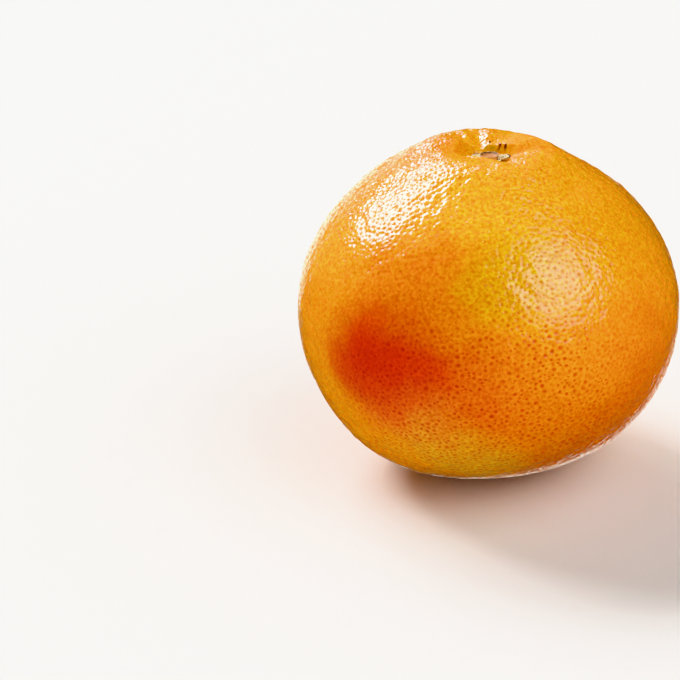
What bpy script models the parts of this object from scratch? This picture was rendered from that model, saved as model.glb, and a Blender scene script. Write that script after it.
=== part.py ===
"""A whole fresh grapefruit resting on its blossom end, with the calyx still in the stem end.

Units are metres and +Z is up. The origin is on the surface that the fruit rests on, under the
middle of its bounding box, and the fruit's core stands along +Z. Seen from the front, the viewer
looks along +Y.
"""

import bmesh
import bpy
import numpy as np

MM = 0.001

# The fruit's body: a spheroid, a little wider than it is high
WIDTH = 106 * MM
POLAR_HEIGHT = 93 * MM
SEGMENTS = 88
RINGS = 66
RING_CROWDING = 0.7  # share by which rings draw together at the two ends, where the detail is

# Soft unevenness of the body, as (azimuth, angle from the stem end, spread, height)
SWELLINGS = (
    (211, 142, 24, 1.9 * MM),
    (285, 155, 28, -0.6 * MM),
    (132, 31, 19, 1.5 * MM),
    (90, 26, 16, 0.5 * MM),
    (160, 66, 26, 0.3 * MM),
    (62, 58, 24, -0.4 * MM),
    (350, 102, 26, -0.3 * MM),
    (110, 105, 34, 0.4 * MM),
    (345, 128, 26, 0.5 * MM),
)

# The stem end: a raised collar, drawn into puckers round a hollow that holds the calyx
STEM_MIDDLE = (0.4 * MM, -1.4 * MM)  # the calyx stands a little off the fruit's axis
COLLAR_RADIUS = 14.5 * MM
COLLAR_SPREAD = 8.0 * MM
COLLAR_HEIGHT = 2.3 * MM
HOLLOW_DEPTH = 0.3 * MM
SEAT_DEPTH = 3.1 * MM  # of the seat's flat floor below the top of the plain spheroid
SEAT_RADIUS = 6.1 * MM
SEAT_BANK = 4.2 * MM  # width of the slope from the seat's floor up to the collar
FOLD_AZIMUTH = 247  # middle of the fold of rind that stands close up to the calyx
FOLD_SPREAD = 46
FOLD_SEAT_RADIUS = 4.3 * MM
FOLD_BANK = 1.8 * MM
STEEP_SIDE_AZIMUTH = 60  # middle of the side where the bank up from the seat is steep
STEEP_SIDE_SPREAD = 53
STEEP_SIDE_BANK = 1.4 * MM
FURROW_START = 8.5 * MM
FURROW_WIDENING = 0.12
# Each furrow of the collar, as (azimuth, depth, width at the stem, length past its start)
FURROWS = (
    (12, 2.2 * MM, 1.0 * MM, 13.0 * MM),
    (66, 1.4 * MM, 1.5 * MM, 8.0 * MM),
    (84, 1.0 * MM, 0.7 * MM, 3.0 * MM),
    (106, 2.8 * MM, 1.0 * MM, 5.0 * MM),
    (127, 1.7 * MM, 0.9 * MM, 7.0 * MM),
    (177, 2.0 * MM, 1.0 * MM, 8.5 * MM),
    (205, 0.8 * MM, 1.0 * MM, 5.0 * MM),
    (232, 0.6 * MM, 1.2 * MM, 5.0 * MM),
    (262, 0.5 * MM, 1.3 * MM, 6.0 * MM),
    (300, 1.0 * MM, 1.1 * MM, 6.5 * MM),
    (335, 0.7 * MM, 1.1 * MM, 5.0 * MM),
)

# The blossom end: flattened, with the small round scar that the flower's style left
REST_DEPTH = 0.6 * MM  # how much of the blossom end the flat resting spot takes away
SCAR_OFFSET = 5.0 * MM
SCAR_AZIMUTH = 140
SCAR_RADIUS = 2.0 * MM
SCAR_DEPTH = 0.6 * MM
SCAR_FLOOR_SHARE = 0.3  # share of the scar's radius that its floor takes up

# The calyx: five lobes round the shallow scar where the stem came away
LOBE_PHASE = 10  # azimuth of the first lobe
LOBE_TIPS = (5.9 * MM, 4.7 * MM, 5.1 * MM, 3.9 * MM, 5.0 * MM)  # each lobe's reach
NOTCH_RADIUS = 3.5 * MM
LOBE_ROUNDNESS = 1.7  # the larger, the narrower the lobes
RIM_RADIUS = 2.7 * MM
RIM_WIDTH = 0.8 * MM
RIM_HEIGHT = 1.5 * MM
TIP_HEIGHT = 0.5 * MM
STEM_SCAR_HEIGHT = 0.8 * MM
CALYX_SEGMENTS = 70
CALYX_RINGS = 28
CALYX_RING_SPREAD = 0.8  # under 1 draws the calyx's rings out towards its edge
CALYX_EDGE_ROUNDING = 0.35  # the smaller, the squarer the calyx's edge
CLEARANCE = 0.3 * MM  # gap under the calyx

# Colours are linear red, green and blue
PEEL_COLOUR = (0.93, 0.50, 0.07)
PEEL_ROUGHNESS = 0.35
CALYX_COLOUR = (0.50, 0.40, 0.24)
CALYX_ROUGHNESS = 0.75


def smoothstep(low, high, value):
    """0 below low, 1 above high, and a smooth rise between."""
    share = np.clip((value - low) / (high - low), 0, 1)
    return share * share * (3 - 2 * share)


def directions(azimuth, polar):
    """Unit vectors for an azimuth round +Z and an angle from +Z, in radians."""
    return np.stack(
        [np.sin(polar) * np.cos(azimuth), np.sin(polar) * np.sin(azimuth), np.cos(polar)],
        axis=-1,
    )


def swelling_height(azimuth, polar):
    """Sum of the soft swellings and hollows of the body."""
    height = np.zeros_like(polar)
    towards = directions(azimuth, polar)
    for middle_azimuth, middle_polar, spread, peak in SWELLINGS:
        middle = directions(np.radians(middle_azimuth), np.radians(middle_polar))
        apart = np.degrees(np.arccos(np.clip(towards @ middle, -1, 1)))
        height += peak * np.exp(-((apart / spread) ** 2))
    return height


def around_stem(azimuth, polar):
    """Azimuth round the stem's middle and distance from it, for directions on the body."""
    across = WIDTH / 2 * directions(azimuth, polar)[..., :2] - STEM_MIDDLE
    return np.arctan2(across[..., 1], across[..., 0]), np.linalg.norm(across, axis=-1)


def collar_height(azimuth, polar):
    """The raised collar round the stem, with its furrows and the hollow in its middle."""
    round_stem, from_axis = around_stem(azimuth, polar)
    above_waist = polar < np.pi / 2
    collar = COLLAR_HEIGHT * np.exp(-(((from_axis - COLLAR_RADIUS) / COLLAR_SPREAD) ** 2))
    hollow = HOLLOW_DEPTH * np.exp(-((from_axis / COLLAR_RADIUS) ** 2))
    past_start = np.maximum(from_axis - FURROW_START, 0)
    begun = smoothstep(SEAT_RADIUS, FURROW_START, from_axis)
    furrows = np.zeros_like(polar)
    for furrow_azimuth, depth, width, length in FURROWS:
        turned = round_stem - np.radians(furrow_azimuth)
        aside = from_axis * np.sin(turned) / (width + FURROW_WIDENING * from_axis)
        across = np.exp(-(aside**2)) * (np.cos(turned) > 0)
        furrows += depth * across * np.exp(-((past_start / length) ** 2))
    return np.where(above_waist, collar - hollow - furrows * begun, 0)


def beside(round_stem, middle, spread):
    """1 at the middle azimuth, in degrees, falling smoothly to 0 away from it."""
    turned = (np.degrees(round_stem) - middle + 180) % 360 - 180
    return np.exp(-((turned / spread) ** 2))


def bank_rise(round_stem, from_axis):
    """Share of the way up from the seat's floor: steepest at the fold and on the steep side."""
    fold = beside(round_stem, FOLD_AZIMUTH, FOLD_SPREAD)
    steep = beside(round_stem, STEEP_SIDE_AZIMUTH, STEEP_SIDE_SPREAD)
    foot = SEAT_RADIUS + (FOLD_SEAT_RADIUS - SEAT_RADIUS) * fold
    width = SEAT_BANK + (FOLD_BANK - SEAT_BANK) * fold + (STEEP_SIDE_BANK - SEAT_BANK) * steep
    return smoothstep(foot, foot + width, from_axis)


def body_surface(azimuth, polar):
    """Points of the fruit's skin about its centre, before the resting spot is cut."""
    across, along = WIDTH / 2, POLAR_HEIGHT / 2
    towards = directions(azimuth, polar)
    points = towards * [across, across, along]
    normals = towards / [across, across, along]
    normals /= np.linalg.norm(normals, axis=-1, keepdims=True)
    height = swelling_height(azimuth, polar) + collar_height(azimuth, polar)
    points = points + normals * height[..., None]
    round_stem, from_axis = around_stem(azimuth, polar)
    on_bank = bank_rise(round_stem, from_axis)
    stem_side = polar < np.pi / 2
    points[..., 2] = np.where(
        stem_side, seat_floor() + (points[..., 2] - seat_floor()) * on_bank, points[..., 2]
    )
    return points


def seat_floor():
    """Height of the calyx seat's flat floor above the fruit's centre."""
    return POLAR_HEIGHT / 2 - SEAT_DEPTH


def blossom_scar_depth(points):
    """How far the scar at the blossom end goes in, at each point of the underside."""
    angle = np.radians(SCAR_AZIMUTH)
    middle = SCAR_OFFSET * np.array([np.cos(angle), np.sin(angle)])
    from_scar = np.linalg.norm(points[..., :2] - middle, axis=-1)
    return SCAR_DEPTH * (1 - smoothstep(SCAR_FLOOR_SHARE * SCAR_RADIUS, SCAR_RADIUS, from_scar))


def rest_height():
    """Height of the resting plane, measured from the fruit's centre."""
    pole = body_surface(np.zeros(1), np.full(1, np.pi))
    return pole[0, 2] + REST_DEPTH


def material(name, colour, roughness):
    """A Principled material with one colour."""
    made = bpy.data.materials.new(name)
    made.use_nodes = True
    shader = made.node_tree.nodes["Principled BSDF"]
    shader.inputs["Base Color"].default_value = (*colour, 1)
    shader.inputs["Roughness"].default_value = roughness
    shader.inputs["Metallic"].default_value = 0
    made.diffuse_color = (*colour, 1)
    return made


def round_grid(segments, rings):
    """A closed ball of quads, with its vertices' azimuths and angles from +Z."""
    grid = bmesh.new()
    bmesh.ops.create_uvsphere(grid, u_segments=segments, v_segments=rings, radius=1)
    towards = np.array([vertex.co for vertex in grid.verts])
    azimuth = np.arctan2(towards[:, 1], towards[:, 0])
    polar = np.arccos(np.clip(towards[:, 2], -1, 1))
    return grid, azimuth, polar


def finished_object(name, grid, points, collection, finish):
    """Moves the grid's vertices to points and makes it a smooth object."""
    for vertex, point in zip(grid.verts, points):
        vertex.co = point
    bmesh.ops.triangulate(grid, faces=grid.faces, quad_method="SHORT_EDGE")
    bmesh.ops.recalc_face_normals(grid, faces=grid.faces)
    mesh = bpy.data.meshes.new(name)
    grid.to_mesh(mesh)
    grid.free()
    mesh.shade_smooth()
    mesh.materials.append(finish)
    made = bpy.data.objects.new(name, mesh)
    collection.objects.link(made)
    return made


def make_fruit(collection, finish):
    """The fruit itself: one solid of peel and flesh."""
    grid, azimuth, turn = round_grid(SEGMENTS, RINGS)
    polar = turn - RING_CROWDING / 2 * np.sin(2 * turn)
    points = body_surface(azimuth, polar)
    rest = rest_height()
    resting = points[:, 2] <= rest
    points[resting, 2] = rest
    underside = polar > np.pi / 2
    points[underside, 2] += blossom_scar_depth(points[underside]) * resting[underside]
    points[:, 2] -= rest
    return finished_object("fruit", grid, points, collection, finish)


def calyx_outline(azimuth):
    """Distance of the calyx's edge from its middle: long at each lobe, short between."""
    step = 2 * np.pi / len(LOBE_TIPS)
    turned = (azimuth - np.radians(LOBE_PHASE)) / step
    nearest = np.round(turned).astype(int) % len(LOBE_TIPS)
    lobe = np.abs(np.cos(np.pi * turned)) ** LOBE_ROUNDNESS
    return NOTCH_RADIUS + (np.array(LOBE_TIPS)[nearest] - NOTCH_RADIUS) * lobe


def calyx_top(from_middle, edge):
    """Height of the calyx's upper face: the stem's scar, the rim round it, and the lobes."""
    scar = STEM_SCAR_HEIGHT
    rim = (RIM_HEIGHT - scar) * np.exp(-(((from_middle - RIM_RADIUS) / RIM_WIDTH) ** 2))
    fall = smoothstep(RIM_RADIUS, edge, from_middle) * (scar - TIP_HEIGHT)
    return scar + rim - fall


def make_calyx(collection, finish):
    """The dried five-lobed calyx with the stem's scar, lying on its seat."""
    grid, azimuth, polar = round_grid(CALYX_SEGMENTS, CALYX_RINGS)
    edge = calyx_outline(azimuth)
    from_middle = edge * np.sin(polar) ** CALYX_RING_SPREAD
    upper = calyx_top(from_middle, edge) * np.abs(np.cos(polar)) ** CALYX_EDGE_ROUNDING
    height = np.where(polar < np.pi / 2, upper, 0)
    points = np.stack(
        [from_middle * np.cos(azimuth), from_middle * np.sin(azimuth), height], axis=-1
    )
    points[:, :2] += STEM_MIDDLE
    points[:, 2] += seat_floor() - rest_height() + CLEARANCE
    return finished_object("calyx", grid, points, collection, finish)


def centre_on_origin(objects):
    """Moves the meshes so that the bounding box's middle stands over the origin."""
    points = np.array([vertex.co for thing in objects for vertex in thing.data.vertices])
    middle = (points.min(axis=0) + points.max(axis=0)) / 2
    for thing in objects:
        for vertex in thing.data.vertices:
            vertex.co.x -= middle[0]
            vertex.co.y -= middle[1]


def build():
    """Clears the scene and makes the whole grapefruit."""
    for leftover in list(bpy.data.objects):
        bpy.data.objects.remove(leftover)
    collection = bpy.data.collections.new("grapefruit")
    bpy.context.scene.collection.children.link(collection)
    peel = material("peel", PEEL_COLOUR, PEEL_ROUGHNESS)
    dried = material("dried_calyx", CALYX_COLOUR, CALYX_ROUGHNESS)
    fruit = make_fruit(collection, peel)
    calyx = make_calyx(collection, dried)
    centre_on_origin([fruit, calyx])


build()
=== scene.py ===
"""The looks of the grapefruit: its pored waxy skin, puckered stem end and dried calyx."""

import math

import bpy
import numpy as np
from mathutils import Matrix, Vector
from mathutils.geometry import delaunay_2d_cdt
from mathutils.kdtree import KDTree


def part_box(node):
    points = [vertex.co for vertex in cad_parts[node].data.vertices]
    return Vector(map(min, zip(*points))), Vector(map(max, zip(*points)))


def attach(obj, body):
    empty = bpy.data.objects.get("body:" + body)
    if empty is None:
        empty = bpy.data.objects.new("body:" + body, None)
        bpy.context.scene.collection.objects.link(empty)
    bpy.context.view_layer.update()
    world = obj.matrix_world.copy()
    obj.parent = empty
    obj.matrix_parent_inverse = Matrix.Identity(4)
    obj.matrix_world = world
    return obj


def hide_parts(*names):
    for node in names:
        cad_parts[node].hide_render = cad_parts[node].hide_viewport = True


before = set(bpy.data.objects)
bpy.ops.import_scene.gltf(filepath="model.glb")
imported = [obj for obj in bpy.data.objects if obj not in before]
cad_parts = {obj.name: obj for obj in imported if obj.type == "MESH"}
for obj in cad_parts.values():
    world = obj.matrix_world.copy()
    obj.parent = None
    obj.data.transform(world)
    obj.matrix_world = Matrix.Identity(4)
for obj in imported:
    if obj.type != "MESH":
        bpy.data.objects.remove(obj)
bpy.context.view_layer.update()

MM = 0.001

# The fruit's body, with the same driving sizes as the CAD
WIDTH = 106 * MM
POLAR_HEIGHT = 93 * MM
REST_DEPTH = 0.6 * MM

# Soft unevenness of the body, as (azimuth, angle from the stem end, spread, height)
SWELLINGS = (
    (211, 142, 24, 1.9 * MM),
    (285, 155, 28, -0.6 * MM),
    (132, 31, 19, 1.5 * MM),
    (90, 26, 16, 0.5 * MM),
    (160, 66, 26, 0.3 * MM),
    (62, 58, 24, -0.4 * MM),
    (350, 102, 26, -0.3 * MM),
    (110, 105, 34, 0.4 * MM),
    (345, 128, 26, 0.5 * MM),
)

# The stem end: a raised collar, drawn into puckers round the calyx's seat
STEM_MIDDLE = (0.4 * MM, -1.4 * MM)
COLLAR_RADIUS = 14.5 * MM
COLLAR_SPREAD = 8.0 * MM
COLLAR_HEIGHT = 2.3 * MM
HOLLOW_DEPTH = 0.3 * MM
SEAT_DEPTH = 3.1 * MM
SEAT_RADIUS = 6.1 * MM
SEAT_BANK = 4.2 * MM
FOLD_AZIMUTH = 247  # middle of the fold of rind that stands close up to the calyx
FOLD_SPREAD = 46
FOLD_SEAT_RADIUS = 4.3 * MM
FOLD_BANK = 1.8 * MM
STEEP_SIDE_AZIMUTH = 60  # middle of the side where the bank up from the seat is steep
STEEP_SIDE_SPREAD = 53
STEEP_SIDE_BANK = 1.4 * MM
FURROW_START = 8.5 * MM
FURROW_WIDENING = 0.12
# Each furrow of the collar, as (azimuth, depth, width at the stem, length past its start)
FURROWS = (
    (12, 2.2 * MM, 1.0 * MM, 13.0 * MM),
    (66, 1.4 * MM, 1.5 * MM, 8.0 * MM),
    (84, 1.0 * MM, 0.7 * MM, 3.0 * MM),
    (106, 2.8 * MM, 1.0 * MM, 5.0 * MM),
    (127, 1.7 * MM, 0.9 * MM, 7.0 * MM),
    (177, 2.0 * MM, 1.0 * MM, 8.5 * MM),
    (205, 0.8 * MM, 1.0 * MM, 5.0 * MM),
    (232, 0.6 * MM, 1.2 * MM, 5.0 * MM),
    (262, 0.5 * MM, 1.3 * MM, 6.0 * MM),
    (300, 1.0 * MM, 1.1 * MM, 6.5 * MM),
    (335, 0.7 * MM, 1.1 * MM, 5.0 * MM),
)

# The blossom end's round scar
SCAR_OFFSET = 5.0 * MM
SCAR_AZIMUTH = 140
SCAR_RADIUS = 2.0 * MM
SCAR_DEPTH = 0.6 * MM
SCAR_FLOOR_SHARE = 0.3

# The oil glands, each a small pit in the skin with its own place, width and depth
SEED = 11
GLANDS = 14100
GLAND_SIDES = 6
STEM_CROWDING = 1.6  # how much denser the glands are round the stem end than elsewhere
STEM_CROWDING_SPREAD = 17  # degrees from the stem end
PLACE_JITTER = 0.34  # share of the spacing
SIZE_VARIETY = 0.34
SIZE_LIMITS = (0.45, 1.6)  # of a gland, against a middling one
DENSITY_STEPS = 2000
SETTLING_ROUNDS = 9
NEIGHBOURS = 7  # looked at round each gland, itself among them
PUSH = 0.32
NEAREST_SHARE = 0.3  # a push grows no further once neighbours are this near
PIT_SHARE = 0.42  # radius of a middling pit's mouth, as a share of the spacing
PIT_DEPTH = 0.19 * MM
DEPTH_LIMITS = (0.6, 1.4)
MOUTH_LIMIT = 0.46  # widest mouth, as a share of the way to the nearest gland
STEM_CALM = (3.0 * MM, 17.0 * MM)  # from the stem: where the relief starts and is full
STEM_ROUGHNESS = 1.4  # how much stronger the relief is round the stem end than elsewhere
STEM_ROUGHNESS_SPREAD = 31  # degrees from the stem end
MIDDLE_TONE = 0.5  # of the blossom end's own point, which isn't a gland
BLOSSOM_END = np.array([[0.0, 0.0, -1.0]])  # where the skin's net is closed
OFF_THE_GLANDS = (0.31, 0.52, 0.79)  # a heading that no gland points exactly along
JOINING_TOLERANCE = 1e-9

# Low relief of the skin between the glands
RIPPLE_HEIGHT = 0.07 * MM
RIPPLE_LENGTH = 3.6 * MM
WAVE_HEIGHT = 0.07 * MM
WAVE_LENGTH = 13 * MM
WAVES = 46
WAVE_LENGTHS = (0.75, 1.35)  # shortest and longest, against the middling length
WAVE_PEAKS = 1.5  # height of the usual peaks, against the relief's usual height

# The calyx
LOBE_PHASE = 10  # azimuth of the first lobe
LOBE_TIPS = (5.9 * MM, 4.7 * MM, 5.1 * MM, 3.9 * MM, 5.0 * MM)  # each lobe's reach
NOTCH_RADIUS = 3.5 * MM
LOBE_ROUNDNESS = 1.7  # the larger, the narrower the lobes
STEM_SCAR_RADIUS = 2.3 * MM
STEM_SCAR_HEIGHT = 0.75 * MM  # of the stem scar's middle over the calyx's underside
STEM_SCAR_DISH = 0.25 * MM  # how much higher the scar's edge is
RIM_RADIUS = 1.12 * STEM_SCAR_RADIUS
RIM_HEIGHT = 0.55 * MM
RIM_WIDTH = 0.55 * MM
LOBE_START = 1.5 * STEM_SCAR_RADIUS
LOBE_HEIGHT = 0.55 * MM
LOBE_CURL = 0.35 * MM  # how much higher the lobes' edges are
CURL_START = 0.6  # share of the way to the edge
RIDGES = 15
RIDGE_PHASE = 0.6
RIDGE_HEIGHT = 0.10 * MM
LOBE_ROUGHNESS = 0.02 * MM
UNDERSIDE_SHARE = 0.97  # reach of the underside, against the upper face
UNDERSIDE_LIFT = 0.25 * MM  # how high the underside's edge is
LIFT_START = 0.4  # share of the way to the edge
CALYX_SIDES = 150
CALYX_RINGS = 36
UNDERSIDE_RINGS = 5
# Sines of the angle that a point lies behind or before the calyx's middle: where that starts
# to count, and where it counts in full
BEHIND_RANGE = (0.25, 0.85)
BEFORE_RANGE = (0.35, 0.95)

# The photograph's camera
PHOTO_SIZE = 680
FRUIT_PIXEL = (487, 307)
ELEVATION = 23  # degrees
DISTANCE = 0.53  # metres from the fruit's centre
LENS = 100  # millimetres, as the sensor's width
SENSOR = 36

# Lights, each far away and round: the pixel where its reflection lies on the fruit, how many
# degrees wide it looks, its radiance, its tint, and whether it lights the colour and the gloss
LIGHTS = (
    ("key_upper", (420, 191), 19, 25.0, (1, 1, 1), True, True),
    ("key_lower", (384, 220), 21, 22.0, (1, 1, 1), True, True),
    ("key_top", (447, 168), 12, 11.0, (1, 1, 1), True, True),
    ("key_shine", (396, 206), 26, 18.0, (0.62, 1, 0.97), False, True),
    ("soft_upper", (555, 262), 45, 2.7, (1, 0.97, 0.93), True, True),
    ("soft_lower", (556, 300), 45, 2.7, (1, 0.97, 0.93), True, True),
    ("soft_shine", (570, 279), 40, 1.6, (0.80, 1, 0.92), False, True),
    ("warm_fill", (390, 330), 50, 1.3, (1, 0.86, 0.74), True, False),
)
# The surround that the skin mirrors: dim above, dim and warm below
UPPER_SURROUND = (0.065, 0.055, 0.045, 1)
LOWER_SURROUND = (0.10, 0.06, 0.03, 1)
HORIZON = 0.15  # how far above and below the level the two blend
# Pale things in it, which the rim mirrors, as (name, azimuth and angle from straight up of its
# middle, degrees from the middle to where it ends and to where it is full, radiance)
PALE_THINGS = (
    ("backdrop", 90, 113, 15, 8, (1.7, 1.6, 1.5, 1)),
    ("left card", 108, 98, 17, 9, (2.0, 2.6, 2.1, 1)),
    ("table", 76, 125, 15, 8, (1.4, 1.25, 1.05, 1)),
)

# The stage
STAGE_RADIUS = 4.0
FLOOR_COLOUR = (0.9, 0.9, 0.9, 1)
FLOOR_ROUGHNESS = 0.8
WALL_SIDES = 96
WALL_COLOUR = (1.02, 1.015, 1.0, 1)


def smoothstep(low, high, value):
    """0 below low, 1 above high, and a smooth rise between."""
    share = np.clip((value - low) / (high - low), 0, 1)
    return share * share * (3 - 2 * share)


def directions(azimuth, polar):
    """Unit vectors for an azimuth round +Z and an angle from +Z, in radians."""
    return np.stack(
        [np.sin(polar) * np.cos(azimuth), np.sin(polar) * np.sin(azimuth), np.cos(polar)],
        axis=-1,
    )


def angles(towards):
    """Azimuth and angle from +Z of unit vectors."""
    azimuth = np.arctan2(towards[..., 1], towards[..., 0])
    return azimuth, np.arccos(np.clip(towards[..., 2], -1, 1))


def swelling_height(towards):
    """Sum of the soft swellings and hollows of the body."""
    height = np.zeros(len(towards))
    for middle_azimuth, middle_polar, spread, peak in SWELLINGS:
        middle = directions(np.radians(middle_azimuth), np.radians(middle_polar))
        apart = np.degrees(np.arccos(np.clip(towards @ middle, -1, 1)))
        height += peak * np.exp(-((apart / spread) ** 2))
    return height


def around_stem(azimuth, polar):
    """Azimuth round the stem's middle and distance from it, for directions on the body."""
    across = WIDTH / 2 * directions(azimuth, polar)[..., :2] - STEM_MIDDLE
    return np.arctan2(across[..., 1], across[..., 0]), np.linalg.norm(across, axis=-1)


def collar_height(azimuth, polar):
    """The raised collar round the stem, with its furrows and the hollow in its middle."""
    round_stem, from_axis = around_stem(azimuth, polar)
    collar = COLLAR_HEIGHT * np.exp(-(((from_axis - COLLAR_RADIUS) / COLLAR_SPREAD) ** 2))
    hollow = HOLLOW_DEPTH * np.exp(-((from_axis / COLLAR_RADIUS) ** 2))
    past_start = np.maximum(from_axis - FURROW_START, 0)
    begun = smoothstep(SEAT_RADIUS, FURROW_START, from_axis)
    furrows = np.zeros_like(polar)
    for furrow_azimuth, depth, width, length in FURROWS:
        turned = round_stem - np.radians(furrow_azimuth)
        aside = from_axis * np.sin(turned) / (width + FURROW_WIDENING * from_axis)
        across = np.exp(-(aside**2)) * (np.cos(turned) > 0)
        furrows += depth * across * np.exp(-((past_start / length) ** 2))
    return np.where(polar < np.pi / 2, collar - hollow - furrows * begun, 0)


def seat_floor():
    """Height of the calyx seat's flat floor above the fruit's centre."""
    return POLAR_HEIGHT / 2 - SEAT_DEPTH


def beside(round_stem, middle, spread):
    """1 at the middle azimuth, in degrees, falling smoothly to 0 away from it."""
    turned = (np.degrees(round_stem) - middle + 180) % 360 - 180
    return np.exp(-((turned / spread) ** 2))


def bank_rise(round_stem, from_axis):
    """Share of the way up from the seat's floor: steepest at the fold and on the steep side."""
    fold = beside(round_stem, FOLD_AZIMUTH, FOLD_SPREAD)
    steep = beside(round_stem, STEEP_SIDE_AZIMUTH, STEEP_SIDE_SPREAD)
    foot = SEAT_RADIUS + (FOLD_SEAT_RADIUS - SEAT_RADIUS) * fold
    width = SEAT_BANK + (FOLD_BANK - SEAT_BANK) * fold + (STEEP_SIDE_BANK - SEAT_BANK) * steep
    return smoothstep(foot, foot + width, from_axis)


def body_surface(towards):
    """Points of the smooth skin about the fruit's centre, before the resting spot is cut."""
    azimuth, polar = angles(towards)
    half = np.array([WIDTH / 2, WIDTH / 2, POLAR_HEIGHT / 2])
    normals = towards / half
    normals /= np.linalg.norm(normals, axis=-1, keepdims=True)
    height = swelling_height(towards) + collar_height(azimuth, polar)
    points = towards * half + normals * height[:, None]
    round_stem, from_axis = around_stem(azimuth, polar)
    on_bank = bank_rise(round_stem, from_axis)
    banked = seat_floor() + (points[:, 2] - seat_floor()) * on_bank
    points[:, 2] = np.where(polar < np.pi / 2, banked, points[:, 2])
    return points


def rest_height():
    """Height of the resting plane, measured from the fruit's centre."""
    pole = body_surface(BLOSSOM_END)
    return pole[0, 2] + REST_DEPTH


def blossom_scar_depth(points):
    """How far the scar at the blossom end goes in, at each point of the underside."""
    angle = np.radians(SCAR_AZIMUTH)
    middle = SCAR_OFFSET * np.array([np.cos(angle), np.sin(angle)])
    from_scar = np.linalg.norm(points[:, :2] - middle, axis=-1)
    return SCAR_DEPTH * (1 - smoothstep(SCAR_FLOOR_SHARE * SCAR_RADIUS, SCAR_RADIUS, from_scar))


def skin_points(towards):
    """Points of the skin with the resting spot and the blossom scar cut, above the floor."""
    points = body_surface(towards)
    rest = rest_height()
    resting = points[:, 2] <= rest
    points[resting, 2] = rest + blossom_scar_depth(points[resting])
    points[:, 2] -= rest
    return points


def middle_shift(points, node):
    """How far points move sideways so that their box is centred on the CAD node's box."""
    low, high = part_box(node)
    wanted = (np.array(low) + np.array(high)) / 2
    own = (points.min(axis=0) + points.max(axis=0)) / 2
    return np.append((wanted - own)[:2], 0)


def gland_spacing(polar):
    """Distance between neighbours at an angle from the stem end, as in an even triangular net."""
    area = 4 * np.pi * (WIDTH / 2) ** 2 * (POLAR_HEIGHT / WIDTH) ** (2 / 3)
    plain = np.sqrt(area / GLANDS * 2 / np.sqrt(3))
    return plain / np.sqrt(gland_density(polar))


def gland_density(polar):
    """Glands to an area, against the fruit's usual number."""
    near_stem = np.exp(-((np.degrees(polar) / STEM_CROWDING_SPREAD) ** 2))
    return 1 + STEM_CROWDING * near_stem


def gland_directions(rng, size):
    """Even but irregular directions of the glands, closer together round the stem end."""
    steps = np.linspace(0, np.pi, DENSITY_STEPS)
    weight = np.cumsum(gland_density(steps) * np.sin(steps))
    share = (np.arange(GLANDS) + 0.5) / GLANDS
    polar = np.interp(share, weight / weight[-1], steps)
    golden_angle = np.pi * (3 - math.sqrt(5))
    towards = directions(np.arange(GLANDS) * golden_angle, polar)
    spacing = (gland_spacing(polar) / (WIDTH / 2))[:, None]
    towards += rng.normal(size=towards.shape) * spacing * PLACE_JITTER
    towards /= np.linalg.norm(towards, axis=-1, keepdims=True)
    for _ in range(SETTLING_ROUNDS):
        towards = settled(towards, spacing[:, 0], size)
    return towards


def neighbour_tree(towards):
    """A search tree over the directions."""
    tree = KDTree(len(towards))
    for index, place in enumerate(towards):
        tree.insert(place, index)
    tree.balance()
    return tree


def nearest_gaps(towards):
    """Distance from each direction to the nearest other one."""
    tree = neighbour_tree(towards)
    return np.array([tree.find_n(place, 2)[1][2] for place in towards])


def settled(towards, spacing, size):
    """The directions after each has moved a little away from neighbours that crowd it."""
    tree = neighbour_tree(towards)
    moved = towards.copy()
    for index, place in enumerate(towards):
        for near, other, apart in tree.find_n(place, NEIGHBOURS):
            if other != index:
                room = spacing[index] * (size[index] + size[other]) / 2
                push = PUSH * max(0.0, 1 - apart / room) / max(apart / room, NEAREST_SHARE)
                moved[index] += (place - np.array(near)) * push
    return moved / np.linalg.norm(moved, axis=-1, keepdims=True)


def tangents(towards):
    """Two unit vectors along the surface at each direction."""
    aside = np.cross(towards, OFF_THE_GLANDS)
    aside /= np.linalg.norm(aside, axis=-1, keepdims=True)
    return aside, np.cross(towards, aside)


def closed_ball(towards):
    """Triangles that join directions into a closed ball, which the point at -Z helps close."""
    flat = towards[:-1, :2] / (1 + towards[:-1, 2:3])
    places = [Vector(place) for place in flat]
    made = delaunay_2d_cdt(places, [], [], 0, JOINING_TOLERANCE, False)
    faces = [tuple(face) for face in made[2]]
    onward = {}
    for face in faces:
        for first, second in zip(face, face[1:] + face[:1]):
            onward[(first, second)] = True
    pole = len(towards) - 1
    for first, second in list(onward):
        if (second, first) not in onward:
            faces.append((second, first, pole))
    return faces


def waviness(towards, rng, length, height):
    """Smooth irregular relief: a sum of many plane waves of about one length."""
    relief = np.zeros(len(towards))
    for _ in range(WAVES):
        heading = rng.normal(size=3)
        heading /= np.linalg.norm(heading)
        number = 2 * np.pi * (WIDTH / 2) / (length * rng.uniform(*WAVE_LENGTHS))
        relief += np.sin(towards @ heading * number + rng.uniform(0, 2 * np.pi))
    return relief * height / math.sqrt(WAVES / 2) / WAVE_PEAKS


def vertex_values(mesh, name, kind, values):
    """Stores one value for each vertex, which the material reads by name."""
    layer = mesh.attributes.new(name, kind, "POINT")
    field = "vector" if kind == "FLOAT_VECTOR" else "value"
    layer.data.foreach_set(field, np.asarray(values, dtype=np.float32).ravel())


def new_object(name, points, faces, finish):
    """A smooth mesh object from points and faces."""
    mesh = bpy.data.meshes.new(name)
    mesh.from_pydata(points.tolist(), [], faces)
    mesh.shade_smooth()
    mesh.materials.append(finish)
    made = bpy.data.objects.new(name, mesh)
    bpy.context.scene.collection.objects.link(made)
    return made


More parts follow.
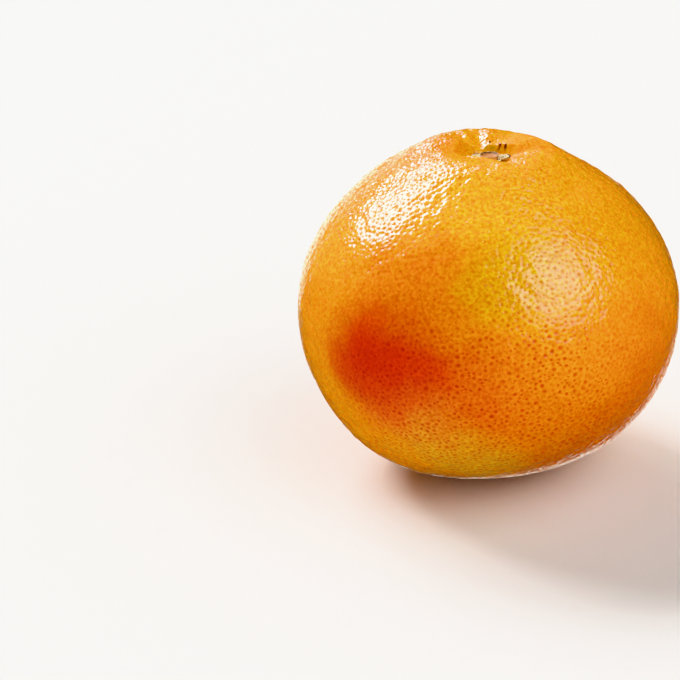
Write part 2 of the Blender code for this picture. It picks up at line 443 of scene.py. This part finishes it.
def vertex_normals(mesh):
    """The mesh's vertex normals as rows."""
    values = np.empty(len(mesh.vertices) * 3, dtype=np.float32)
    mesh.vertex_normals.foreach_get("vector", values)
    return values.reshape(-1, 3).astype(float)


def gland_rings(rng, centres, reach):
    """Directions of the glands' middles and of the points round their mouths, and the ways out."""
    phase = rng.uniform(0, 2 * np.pi, GLANDS)
    aside, across = tangents(centres)
    towards, offsets = [centres], [np.zeros((GLANDS, 3))]
    for side in range(GLAND_SIDES):
        turn = phase + 2 * np.pi * side / GLAND_SIDES
        outward = aside * np.cos(turn)[:, None] + across * np.sin(turn)[:, None]
        towards.append(centres * np.cos(reach)[:, None] + outward * np.sin(reach)[:, None])
        offsets.append(outward)
    return np.vstack(towards + [BLOSSOM_END]), np.vstack(offsets + [BLOSSOM_END * 0])


def relief_strength(towards):
    """Strength of the pits and the relief: none at the calyx, most on the collar."""
    azimuth, polar = angles(towards)
    round_stem, from_axis = around_stem(azimuth, polar)
    calm = bank_rise(round_stem, from_axis) * smoothstep(*STEM_CALM, from_axis)
    calm = np.where(towards[:, 2] > 0, calm, 1)
    near_stem = np.exp(-((np.degrees(polar) / STEM_ROUGHNESS_SPREAD) ** 2))
    return calm * (1 + STEM_ROUGHNESS * near_stem)


def make_skin(finish):
    """The fruit's skin: the CAD's own shape with thousands of small pits and low relief."""
    rng = np.random.default_rng(SEED)
    size = np.clip(rng.lognormal(0, SIZE_VARIETY, GLANDS), *SIZE_LIMITS)
    centres = gland_directions(rng, size)
    spacing = gland_spacing(angles(centres)[1]) / (WIDTH / 2)
    reach = np.minimum(spacing * PIT_SHARE * size, nearest_gaps(centres) * MOUTH_LIMIT)
    towards, offsets = gland_rings(rng, centres, reach)
    core = np.zeros(len(towards))
    core[:GLANDS] = 1
    tone = np.append(np.tile(rng.uniform(0, 1, GLANDS), GLAND_SIDES + 1), MIDDLE_TONE)
    points = skin_points(towards)
    points += middle_shift(points, "fruit")
    skin = new_object("fruit_skin", points, closed_ball(towards), finish)
    normals = vertex_normals(skin.data)
    depth = np.zeros(len(towards))
    depth[:GLANDS] = PIT_DEPTH * size * rng.uniform(*DEPTH_LIMITS, GLANDS)
    relief = waviness(towards, rng, RIPPLE_LENGTH, RIPPLE_HEIGHT)
    relief += waviness(towards, rng, WAVE_LENGTH, WAVE_HEIGHT)
    points += normals * ((relief - depth) * relief_strength(towards))[:, None]
    points[:, 2] = np.maximum(points[:, 2], 0)
    skin.data.vertices.foreach_set("co", points.ravel())
    skin.data.update()
    vertex_values(skin.data, "from_gland", "FLOAT_VECTOR", offsets)
    vertex_values(skin.data, "core", "FLOAT", core)
    vertex_values(skin.data, "tone", "FLOAT", tone)
    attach(skin, "root")
    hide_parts("fruit")


def calyx_outline(azimuth):
    """Distance of the calyx's edge from its middle: long at each lobe, short between."""
    step = 2 * np.pi / len(LOBE_TIPS)
    turned = (azimuth - np.radians(LOBE_PHASE)) / step
    nearest = np.round(turned).astype(int) % len(LOBE_TIPS)
    lobe = np.abs(np.cos(np.pi * turned)) ** LOBE_ROUNDNESS
    return NOTCH_RADIUS + (np.array(LOBE_TIPS)[nearest] - NOTCH_RADIUS) * lobe


def calyx_top(azimuth, from_middle, edge):
    """Height of the calyx's upper face over its underside's level."""
    scar = STEM_SCAR_HEIGHT + STEM_SCAR_DISH * (from_middle / STEM_SCAR_RADIUS) ** 2
    rim = RIM_HEIGHT * np.exp(-(((from_middle - RIM_RADIUS) / RIM_WIDTH) ** 2))
    outside = LOBE_HEIGHT + LOBE_CURL * smoothstep(CURL_START, 1.0, from_middle / edge)
    past = smoothstep(STEM_SCAR_RADIUS, LOBE_START, from_middle)
    ridges = RIDGE_HEIGHT * np.cos(azimuth * RIDGES + RIDGE_PHASE) * past
    return scar * (1 - past) + outside * past + rim + ridges


def ring_points(azimuth, from_middle, height):
    """Points of one ring round the calyx's middle."""
    return np.stack([from_middle * np.cos(azimuth), from_middle * np.sin(azimuth), height], axis=-1)


def calyx_points():
    """The calyx's points, ring by ring: from the middle of the upper face out, and back below."""
    azimuth = np.linspace(0, 2 * np.pi, CALYX_SIDES, endpoint=False)
    edge = calyx_outline(azimuth)
    rng = np.random.default_rng(SEED)
    points = [np.array([[0, 0, calyx_top(0.0, 0.0, max(LOBE_TIPS))]])]
    for ring in range(1, CALYX_RINGS + 1):
        from_middle = edge * ring / CALYX_RINGS
        rough = rng.normal(size=CALYX_SIDES) * LOBE_ROUGHNESS
        points.append(ring_points(azimuth, from_middle, calyx_top(azimuth, from_middle, edge) + rough))
    for ring in range(UNDERSIDE_RINGS, 0, -1):
        from_middle = edge * ring / UNDERSIDE_RINGS * UNDERSIDE_SHARE
        lift = UNDERSIDE_LIFT * smoothstep(LIFT_START, 1.0, ring / UNDERSIDE_RINGS)
        points.append(ring_points(azimuth, from_middle, np.full(CALYX_SIDES, lift)))
    return np.vstack(points + [np.zeros((1, 3))])


def calyx_faces():
    """Faces between the calyx's rings, and fans round its two middle points."""
    rings = CALYX_RINGS + UNDERSIDE_RINGS
    last_ring = 1 + (rings - 1) * CALYX_SIDES
    last = last_ring + CALYX_SIDES
    faces = []
    for side in range(CALYX_SIDES):
        after = (side + 1) % CALYX_SIDES
        faces.append((0, 1 + side, 1 + after))
        for ring in range(rings - 1):
            here = 1 + ring * CALYX_SIDES
            onward = here + CALYX_SIDES
            faces.append((here + side, onward + side, onward + after, here + after))
        faces.append((last_ring + after, last_ring + side, last))
    return faces


def make_calyx(finish):
    """The dried calyx: the stem's corky scar, the rim round it, and five shrivelled lobes."""
    points = calyx_points()
    from_middle = np.linalg.norm(points[:, :2], axis=-1)
    behind = points[:, 1] / np.maximum(from_middle, MM)
    low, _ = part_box("calyx")
    points += middle_shift(points, "calyx")
    points[:, 2] += low[2]
    calyx = new_object("calyx_detail", points, calyx_faces(), finish)
    vertex_values(calyx.data, "share", "FLOAT", from_middle / max(LOBE_TIPS))
    vertex_values(calyx.data, "behind", "FLOAT", smoothstep(*BEHIND_RANGE, behind))
    vertex_values(calyx.data, "before", "FLOAT", smoothstep(*BEFORE_RANGE, -behind))
    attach(calyx, "root")
    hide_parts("calyx")


def colour(hex_code):
    """Linear colour from a screen colour's hexadecimal code, by the curve of sRGB."""
    screen = np.array([int(hex_code[at:at + 2], 16) / 255 for at in (0, 2, 4)])
    linear = np.where(screen <= 0.04045, screen / 12.92, ((screen + 0.055) / 1.055) ** 2.4)
    return (*linear.tolist(), 1)


def new_material(name):
    """A material with its Principled shader, and its node tree."""
    made = bpy.data.materials.new(name)
    made.use_nodes = True
    return made, made.node_tree, made.node_tree.nodes["Principled BSDF"]


def node(tree, kind, inputs=None, **settings):
    """Adds a node; an input is a value or another node's output."""
    made = tree.nodes.new(kind)
    for key, value in settings.items():
        setattr(made, key, value)
    for key, value in (inputs or {}).items():
        if isinstance(value, bpy.types.NodeSocket):
            tree.links.new(value, made.inputs[key])
        else:
            made.inputs[key].default_value = value
    return made


def math_node(tree, operation, first, second=0.0):
    """The result of one sum."""
    return node(tree, "ShaderNodeMath", {0: first, 1: second}, operation=operation).outputs[0]


def product(tree, first, second):
    """Two values multiplied."""
    return math_node(tree, "MULTIPLY", first, second)


def vector_node(tree, operation, first, second=(0, 0, 0), output="Vector"):
    """The result of one sum of vectors."""
    made = node(tree, "ShaderNodeVectorMath", {0: first, 1: second}, operation=operation)
    return made.outputs[output]


def stored(tree, name, output="Fac"):
    """A value that the mesh keeps for each vertex."""
    return node(tree, "ShaderNodeAttribute", attribute_name=name).outputs[output]


def ramp(tree, value, low, high, out_low=0.0, out_high=1.0):
    """Value carried smoothly from the range low to high into the range out_low to out_high."""
    inputs = {"Value": value, "From Min": low, "From Max": high, "To Min": out_low, "To Max": out_high}
    return node(tree, "ShaderNodeMapRange", inputs, interpolation_type="SMOOTHSTEP").outputs["Result"]


def mix(tree, share, first, second, blend="MIX"):
    """Two colours mixed, by a share of the second."""
    made = node(tree, "ShaderNodeMix", data_type="RGBA", blend_type=blend)
    for key, value in ((0, share), (6, first), (7, second)):
        if isinstance(value, bpy.types.NodeSocket):
            tree.links.new(value, made.inputs[key])
        else:
            made.inputs[key].default_value = value
    return made.outputs[2]


def noise(tree, place, size, detail=3.0, output="Fac"):
    """Noise with features of about the given size."""
    inputs = {"Vector": place, "Scale": 1 / size, "Detail": detail, "Roughness": NOISE_ROUGHNESS}
    return node(tree, "ShaderNodeTexNoise", inputs).outputs[output]


def wandering(tree, start, place, size, reach):
    """The start moved smoothly about, in features of a size and over about a reach."""
    rough = noise(tree, place, size, output="Color")
    shift = vector_node(tree, "SUBTRACT", rough, (0.5, 0.5, 0.5))
    shift = vector_node(tree, "MULTIPLY", shift, (reach, reach, reach))
    return vector_node(tree, "ADD", start, shift)


def bump(tree, height, strength, depth, under=None):
    """A normal tilted by a height, on top of another normal where one is given."""
    inputs = {"Height": height, "Strength": strength, "Distance": depth}
    if under is not None:
        inputs["Normal"] = under
    return node(tree, "ShaderNodeBump", inputs).outputs["Normal"]


def facing(tree, towards, azimuth, polar):
    """How nearly unit vectors point the way given in degrees: 1 where they do."""
    middle = directions(np.radians(azimuth), np.radians(polar)).tolist()
    return vector_node(tree, "DOT_PRODUCT", towards, middle, "Value")


# Soft patches of colour on the skin, two of them partly painted light, each over the ones before it, as
# (name, azimuth, angle from the stem end, spread, colour, strength)
PATCHES = (
    ("golden crown", 291, 36, 42, "f4bc08", 0.90),
    ("right shoulder", 350, 46, 40, "f09c18", 0.50),
    # Partly golden skin, partly a painted pale glow of the key light's glare beside its highlight
    ("left shoulder and painted glare", 198, 43, 27, "f2b81c", 0.75),
    ("golden back", 130, 45, 60, "ee9c20", 0.55),
    ("gold behind stem", 90, 14, 15, "dfa408", 0.70),
    ("deep orange right", 318, 112, 37, "d66802", 0.88),
    ("orange back", 110, 98, 60, "ea821d", 0.60),
    ("orange belly", 258, 96, 29, "dc620a", 0.88),
    ("warm right", 304, 79, 19, "f09c10", 0.55),
    ("orange flank", 250, 57, 18, "e27604", 0.75),
    ("orange middle", 277, 79, 12, "f0a010", 0.30),
    ("olive waist", 275, 55, 14, "d8a416", 0.45),
    ("olive underside", 261, 120, 19, "dcac34", 0.75),
    ("salmon", 247, 102, 14, "e89040", 0.35),
    # Partly the fruit's own red blush, partly painted red light, as a red cut half beside the fruit would
    # throw on it
    ("blush and painted red glow", 236, 86, 20, "d22403", 0.95),
)
# The skin between and under the patches
GROUND = "ea9606"
PATCH_REACH = 1.25  # where a patch ends, in its spreads
PATCH_WANDER = 26 * MM  # how far the patches' edges stray
PATCH_WANDER_SIZE = 22 * MM
# Mottling of the colour, as (name, size, detail, where its noise sets in and is full,
# strengths there, the tint that it multiplies by)
MOTTLES = (
    ("dark mottles", 1.9 * MM, 4.0, (0.40, 0.75), (0.0, 0.60), (0.93, 0.74, 0.50, 1)),
    ("light mottles", 1.9 * MM, 4.0, (0.48, 0.25), (0.0, 0.60), (1.05, 1.22, 1.20, 1)),
    ("dark grains", 0.85 * MM, 2.0, (0.38, 0.52), (0.75, 0.0), (0.90, 0.66, 0.45, 1)),
    ("light grains", 0.85 * MM, 2.0, (0.50, 0.64), (0.0, 0.75), (1.06, 1.32, 1.35, 1)),
)
NOISE_ROUGHNESS = 0.55  # of every noise
# The glands' tints, which multiply the colour
GOLD_GLAND_TINT = (0.95, 0.66, 0.18, 1)
RED_GLAND_TINT = (0.78, 0.24, 0.06, 1)
RED_GLANDS_MIDDLE = (273, 110)  # azimuth and polar angle where the glands are reddest
RED_GLANDS_RANGE = (0.50, 0.88)  # cosine of the angle from there: where red starts and is full
GLAND_STRENGTHS = (0.70, 1.0)  # of the golden glands' tint and of the red ones'
# The green tinge behind the calyx
STEM_GREEN = "b4931c"
STEM_GREEN_PLACE = (-0.4 * MM, 5.0 * MM)  # from the calyx's middle
STEM_GREEN_RADII = (1.0 * MM, 5.0 * MM)  # where it is full, and where it ends
STEM_GREEN_SIZE = 1.2 * MM  # of its unevenness
STEM_GREEN_RANGE = (0.35, 0.65)
STEM_GREEN_STRENGTHS = (0.15, 0.75)
STEM_WANDER = 1.6 * MM  # how far the edges of the colours near the calyx stray
STEM_COLOUR_DEPTH = 4 * MM  # how far below the calyx these colours end
# Small dark scars on the bank behind the calyx, as (across, behind, radius) from its middle
FLECKS = (
    (2.4 * MM, 6.5 * MM, 0.50 * MM),
    (3.8 * MM, 5.5 * MM, 0.50 * MM),
    (-0.3 * MM, 8.8 * MM, 0.45 * MM),
)
FLECK_COLOUR = "7a2408"
# Duller skin on the slope right of the calyx and behind it, as (across, behind) from its middle
DULL_PLACE = (8.5 * MM, 5.0 * MM)
DULL_RADII = (5.0 * MM, 11.5 * MM)  # where it is full, and where it ends
DULL_ROUGHNESS = 0.2
# Parts of a gland's pit, as where each is full and where it ends on the way to the mouth
BOWL_EDGES = (0.10, 0.86)
STAIN_EDGES = (0.25, 1.20)
BARE_EDGES = (0.15, 0.70)
GLAND_EDGE = 0.10  # how far in from the mouth a pit counts in full
STAIN_STRENGTHS = (0.40, 1.0)  # of the palest gland and of the darkest
PIT_ROUGHNESS = 0.25
THIN_WAX = 0.15  # coat that is left in the pits and on the dull slope
# The wax between the glands
WAX_PATCH_SIZE = 9 * MM
WAX_PATCH_RANGE = (0.3, 0.7)
WAX_ROUGHNESS = (0.27, 0.37)
GRAIN_SIZE = 0.75 * MM
GRAIN_DEPTH = 0.045 * MM
GRAIN_STRENGTH = 0.35
DIMPLE_DEPTH = 0.05 * MM
DIMPLE_STRENGTH = 0.6

# The dried calyx's colours; edges are shares of the longest lobe's reach
STEM_SCAR_TAN = "bd7f46"
# The rim's brown, which towards the back also stands for painted shadow
RIM_BROWN_AND_SHADOW = "4a2410"
RIM_EDGES = (0.34, 0.39)
# Strength of the rim's brown: the extra darkness towards the back is painted shadow
RIM_STRENGTHS = (0.35, 1.0)  # in front and at the back
RIM_SHADOW_FULL = 0.5  # share of the way to the back where the rim is fully dark
LOBE_CREAM = "dccda0"
LOBE_EDGES = (0.41, 0.46)
LOBE_GREEN = "c8a036"
LOBE_GREEN_EDGES = (0.40, 0.46)
SPOT_BROWN = "7c5228"
SPOT_SIZE = 0.8 * MM
SPOT_RANGE = (0.50, 0.60)
LOBE_TINT_STRENGTH = 0.85  # of the green and of the brown spots
TIP_BROWN = "4a1c0e"
TIP_EDGES = (0.86, 0.93)
BACK_TIP_SHIFT = 0.10  # how much earlier the tips' brown starts at the back
FRONT_SHIFT = 0.22  # how much later each ring starts in front
EDGE_DRIFT = 0.22  # how much the rings' edges waver
BLOTCH_SIZE = 1.1 * MM
BLOTCH_RANGE = (0.3, 0.7)
CALYX_MOTTLE_SIZE = 0.5 * MM
CALYX_MOTTLE_RANGE = (0.35, 0.7)
CALYX_MOTTLE_TINT = (0.62, 0.52, 0.40, 1)
CALYX_MOTTLE_STRENGTH = 0.5
CALYX_ROUGHNESS = (0.62, 0.85)
WRINKLE_SIZE = 0.45 * MM
WRINKLE_DEPTH = 0.12 * MM
WRINKLE_STRENGTH = 0.8


def skin_colour(tree, place, pit):
    """Golden ground, soft patches (two partly painted light: a red glow and a glare glow), fine mottling
    and the glands' deeper orange.
    """
    centred = vector_node(tree, "ADD", place, (0, 0, rest_height()))
    scaled = vector_node(tree, "MULTIPLY", centred, (1, 1, WIDTH / POLAR_HEIGHT))
    moved = wandering(tree, scaled, place, PATCH_WANDER_SIZE, PATCH_WANDER)
    towards = vector_node(tree, "NORMALIZE", moved)
    tint = colour(GROUND)
    for _, azimuth, polar, spread, code, strength in PATCHES:
        edge = math.cos(math.radians(spread * PATCH_REACH))
        share = ramp(tree, facing(tree, towards, azimuth, polar), edge, 1.0, 0.0, strength)
        tint = mix(tree, share, tint, colour(code))
    for _, size, detail, noise_range, strengths, shade in MOTTLES:
        share = ramp(tree, noise(tree, place, size, detail), *noise_range, *strengths)
        tint = mix(tree, share, tint, shade, "MULTIPLY")
    red = ramp(tree, facing(tree, towards, *RED_GLANDS_MIDDLE), *RED_GLANDS_RANGE)
    gland = mix(tree, red, GOLD_GLAND_TINT, RED_GLAND_TINT)
    tinted = product(tree, pit, ramp(tree, red, 0.0, 1.0, *GLAND_STRENGTHS))
    tint = mix(tree, tinted, tint, gland, "MULTIPLY")
    return stem_colours(tree, place, tint)


def near_calyx(tree, place, across, behind, full, end):
    """Share that falls from 1 to 0 between two distances from a place beside the calyx."""
    low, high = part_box("calyx")
    moved = wandering(tree, place, place, STEM_WANDER, STEM_WANDER)
    level = vector_node(tree, "MULTIPLY", moved, (1, 1, 0))
    height = node(tree, "ShaderNodeSeparateXYZ", {0: place}).outputs["Z"]
    above = ramp(tree, height, low[2] - STEM_COLOUR_DEPTH, low[2])
    spot = ((low[0] + high[0]) / 2 + across, (low[1] + high[1]) / 2 + behind, 0)
    apart = vector_node(tree, "DISTANCE", level, spot, "Value")
    return product(tree, ramp(tree, apart, full, end, 1.0, 0.0), above)


def stem_colours(tree, place, tint):
    """The green tinge behind the calyx and the small dark scars on the bank there."""
    uneven = noise(tree, place, STEM_GREEN_SIZE, detail=4.0)
    strength = ramp(tree, uneven, *STEM_GREEN_RANGE, *STEM_GREEN_STRENGTHS)
    green = near_calyx(tree, place, *STEM_GREEN_PLACE, *STEM_GREEN_RADII)
    tint = mix(tree, product(tree, green, strength), tint, colour(STEM_GREEN))
    for across, behind, radius in FLECKS:
        fleck = near_calyx(tree, place, across, behind, radius / 2, radius)
        tint = mix(tree, fleck, tint, colour(FLECK_COLOUR))
    return tint


def in_glands(tree, full, end):
    """Share that falls from 1 to 0 from a gland's middle out, as shares of the way to its mouth."""
    radius = vector_node(tree, "LENGTH", stored(tree, "from_gland", "Vector"), output="Value")
    inside = ramp(tree, stored(tree, "core"), 0.0, GLAND_EDGE)
    return product(tree, ramp(tree, radius, full, end, 1.0, 0.0), inside)


def peel_roughness(tree, place, bowl, dull):
    """Wax of uneven gloss, rougher in the pits and on the dull slope."""
    waxy = ramp(tree, noise(tree, place, WAX_PATCH_SIZE), *WAX_PATCH_RANGE, *WAX_ROUGHNESS)
    slope = math_node(tree, "ADD", waxy, product(tree, dull, DULL_ROUGHNESS))
    return math_node(tree, "ADD", slope, product(tree, bowl, PIT_ROUGHNESS))


def make_peel():
    """Waxy citrus skin: gland pits, fine grain, a soft sheen and colour in soft patches."""
    made, tree, shader = new_material("peel_skin")
    place = node(tree, "ShaderNodeTexCoord").outputs["Object"]
    bowl = in_glands(tree, *BOWL_EDGES)
    strength = ramp(tree, stored(tree, "tone"), 0.0, 1.0, *STAIN_STRENGTHS)
    pit = product(tree, in_glands(tree, *STAIN_EDGES), strength)
    shader.inputs["Base Color"].default_value = colour(GROUND)
    tree.links.new(skin_colour(tree, place, pit), shader.inputs["Base Color"])
    dull = near_calyx(tree, place, *DULL_PLACE, *DULL_RADII)
    tree.links.new(peel_roughness(tree, place, bowl, dull), shader.inputs["Roughness"])
    shader.inputs["IOR"].default_value = 1.46
    shader.inputs["Specular IOR Level"].default_value = 0.10
    waxed = ramp(tree, in_glands(tree, *BARE_EDGES), 0.0, 1.0, 1.0, THIN_WAX)
    waxed = product(tree, waxed, ramp(tree, dull, 0.0, 1.0, 1.0, THIN_WAX))
    tree.links.new(waxed, shader.inputs["Coat Weight"])
    shader.inputs["Coat Roughness"].default_value = 0.09
    shader.inputs["Subsurface Weight"].default_value = 0.12
    shader.inputs["Subsurface Radius"].default_value = (1.0, 0.42, 0.10)
    shader.inputs["Subsurface Scale"].default_value = 1.6 * MM
    fine = noise(tree, place, GRAIN_SIZE, detail=2.0)
    grain = bump(tree, fine, GRAIN_STRENGTH, GRAIN_DEPTH)
    raised = math_node(tree, "SUBTRACT", 1.0, bowl)
    dimple = bump(tree, raised, DIMPLE_STRENGTH, DIMPLE_DEPTH, grain)
    tree.links.new(dimple, shader.inputs["Normal"])
    tree.links.new(dimple, shader.inputs["Coat Normal"])
    return made


def calyx_colour(tree, place, blotch):
    """Tan scar, brown rim with painted shadow darkening its back, cream lobes with brown spots and dark
    tips, green at the back.
    """
    back = stored(tree, "behind")
    nearer = product(tree, stored(tree, "before"), FRONT_SHIFT)
    drift = product(tree, math_node(tree, "SUBTRACT", blotch, 0.5), EDGE_DRIFT)
    out = math_node(tree, "ADD", math_node(tree, "SUBTRACT", stored(tree, "share"), nearer), drift)
    # Brown rim all round, darker towards the back as painted shadow
    rim_brown_and_shadow = ramp(tree, back, 0.0, RIM_SHADOW_FULL, *RIM_STRENGTHS)
    rim = product(tree, ramp(tree, out, *RIM_EDGES), rim_brown_and_shadow)
    tint = mix(tree, rim, colour(STEM_SCAR_TAN), colour(RIM_BROWN_AND_SHADOW))
    lobes = ramp(tree, out, *LOBE_EDGES)
    tint = mix(tree, lobes, tint, colour(LOBE_CREAM))
    green = product(tree, ramp(tree, out, *LOBE_GREEN_EDGES, 0.0, LOBE_TINT_STRENGTH), back)
    tint = mix(tree, green, tint, colour(LOBE_GREEN))
    spots = noise(tree, place, SPOT_SIZE, detail=4.0)
    brown = product(tree, ramp(tree, spots, *SPOT_RANGE, 0.0, LOBE_TINT_STRENGTH), lobes)
    tint = mix(tree, brown, tint, colour(SPOT_BROWN))
    tips = math_node(tree, "ADD", out, product(tree, back, BACK_TIP_SHIFT))
    tint = mix(tree, ramp(tree, tips, *TIP_EDGES), tint, colour(TIP_BROWN))
    mottle = noise(tree, place, CALYX_MOTTLE_SIZE, detail=5.0)
    mottle = ramp(tree, mottle, *CALYX_MOTTLE_RANGE, 0.0, CALYX_MOTTLE_STRENGTH)
    return mix(tree, mottle, tint, CALYX_MOTTLE_TINT, "MULTIPLY")


def make_calyx_finish():
    """Dry, matt and wrinkled, coloured in rings from the scar to the tips."""
    made, tree, shader = new_material("calyx_dry")
    place = node(tree, "ShaderNodeTexCoord").outputs["Object"]
    blotch = noise(tree, place, BLOTCH_SIZE, detail=4.0)
    tree.links.new(calyx_colour(tree, place, blotch), shader.inputs["Base Color"])
    roughness = ramp(tree, blotch, *BLOTCH_RANGE, *CALYX_ROUGHNESS)
    tree.links.new(roughness, shader.inputs["Roughness"])
    fine = noise(tree, place, WRINKLE_SIZE, detail=5.0)
    wrinkles = bump(tree, fine, WRINKLE_STRENGTH, WRINKLE_DEPTH)
    tree.links.new(wrinkles, shader.inputs["Normal"])
    return made


def make_floor():
    """A plain pale floor."""
    made, _, shader = new_material("floor_white")
    shader.inputs["Base Color"].default_value = FLOOR_COLOUR
    shader.inputs["Roughness"].default_value = FLOOR_ROUGHNESS
    half = STAGE_RADIUS
    corners = np.array([[-half, -half, 0], [half, -half, 0], [half, half, 0], [-half, half, 0]])
    floor = new_object("floor", corners, [(0, 1, 2, 3)], made)
    # Mirrored, it would veil the fruit's lower half, as the photograph's ground doesn't
    floor.visible_glossy = False


def make_wall():
    """A pale wall round the floor, which only the camera sees, behind low views."""
    made, _, shader = new_material("wall_white")
    shader.inputs["Base Color"].default_value = (0, 0, 0, 1)
    shader.inputs["Specular IOR Level"].default_value = 0
    shader.inputs["Emission Color"].default_value = WALL_COLOUR
    shader.inputs["Emission Strength"].default_value = 1.0
    turn = np.linspace(0, 2 * np.pi, WALL_SIDES, endpoint=False)
    ring = STAGE_RADIUS * np.stack([np.cos(turn), np.sin(turn), 0 * turn], axis=-1)
    faces = []
    for side in range(WALL_SIDES):
        after = (side + 1) % WALL_SIDES
        faces.append((side, after, after + WALL_SIDES, side + WALL_SIDES))
    wall = new_object("wall", np.vstack([ring, ring + (0, 0, STAGE_RADIUS)]), faces, made)
    wall.visible_diffuse = False
    wall.visible_glossy = False
    wall.visible_transmission = False
    wall.visible_shadow = False


def camera_axes():
    """The camera's place and its right, up and forward directions."""
    lift = math.radians(ELEVATION)
    back = np.array([0, -math.cos(lift), math.sin(lift)])
    up = np.array([0, math.sin(lift), math.cos(lift)])
    right = np.array([1.0, 0, 0])
    scale = LENS / SENSOR * PHOTO_SIZE
    yaw = math.atan((FRUIT_PIXEL[0] - PHOTO_SIZE / 2) / scale)
    pitch = math.atan((PHOTO_SIZE / 2 - FRUIT_PIXEL[1]) / scale)
    level = -back * math.cos(yaw) - right * math.sin(yaw)
    right = right * math.cos(yaw) - back * math.sin(yaw)
    forward = level * math.cos(pitch) - up * math.sin(pitch)
    up = up * math.cos(pitch) + level * math.sin(pitch)
    centre = np.array([0, 0, -rest_height()])
    return centre + back * DISTANCE, right, up, forward


def make_camera():
    """A camera at the photograph's viewing angle."""
    place, right, up, forward = camera_axes()
    data = bpy.data.cameras.new("camera")
    data.lens = LENS
    data.sensor_width = SENSOR
    data.clip_start = 0.01
    camera = bpy.data.objects.new("camera", data)
    turn = Matrix((right, up, -forward)).transposed()
    camera.matrix_world = Matrix.Translation(Vector(place)) @ turn.to_4x4()
    bpy.context.scene.collection.objects.link(camera)
    bpy.context.scene.camera = camera


def mirrored(pixel):
    """Where a photo pixel's ray meets the plain body, and which way it goes on as a reflection."""
    eye, right, up, forward = camera_axes()
    scale = LENS / SENSOR * PHOTO_SIZE
    ray = forward + right * (pixel[0] - PHOTO_SIZE / 2) / scale + up * (PHOTO_SIZE / 2 - pixel[1]) / scale
    ray /= np.linalg.norm(ray)
    shrink = 2 / np.array([WIDTH, WIDTH, POLAR_HEIGHT])
    centre = np.array([0, 0, -rest_height()])
    start, step = (eye - centre) * shrink, ray * shrink
    along, square = start @ step, step @ step
    reach = (-along - math.sqrt(along**2 - square * (start @ start - 1))) / square
    hit = eye + ray * reach
    normal = (hit - centre) * shrink**2
    normal /= np.linalg.norm(normal)
    return hit, ray - 2 * (ray @ normal) * normal


def soft_light(name, pixel, degrees_wide, radiance, tint, lights_colour, lights_gloss):
    """A wide, even studio light whose reflection lies on the fruit at a pixel of the photograph."""
    hit, onward = mirrored(pixel)
    data = bpy.data.lights.new(name, "SUN")
    data.angle = math.radians(degrees_wide)
    data.energy = radiance * math.pi * math.sin(data.angle / 2) ** 2
    data.color = tint
    light = bpy.data.objects.new(name, data)
    light.location = Vector(hit + onward)
    light.visible_diffuse = lights_colour
    light.visible_glossy = lights_gloss
    light.rotation_mode = "QUATERNION"
    light.rotation_quaternion = Vector(-onward).to_track_quat("-Z", "Y")
    bpy.context.scene.collection.objects.link(light)


def make_world():
    """The studio round the fruit, which its rim mirrors."""
    world = bpy.data.worlds.new("studio")
    world.use_nodes = True
    tree = world.node_tree
    heading = node(tree, "ShaderNodeTexCoord").outputs["Generated"]
    height = node(tree, "ShaderNodeSeparateXYZ", {0: heading}).outputs["Z"]
    tint = mix(tree, ramp(tree, height, -HORIZON, HORIZON), LOWER_SURROUND, UPPER_SURROUND)
    for _, azimuth, polar, end, full, radiance in PALE_THINGS:
        towards_it = facing(tree, heading, azimuth, polar)
        edges = (math.cos(math.radians(edge)) for edge in (end, full))
        tint = mix(tree, ramp(tree, towards_it, *edges), tint, radiance)
    tree.links.new(tint, tree.nodes["Background"].inputs["Color"])
    bpy.context.scene.world = world


def main():
    """Makes the piece, the stage, the lights and the camera."""
    make_skin(make_peel())
    make_calyx(make_calyx_finish())
    make_floor()
    make_wall()
    make_world()
    for light in LIGHTS:
        soft_light(*light)
    make_camera()
    bpy.context.scene.view_settings.view_transform = "Khronos PBR Neutral"


main()
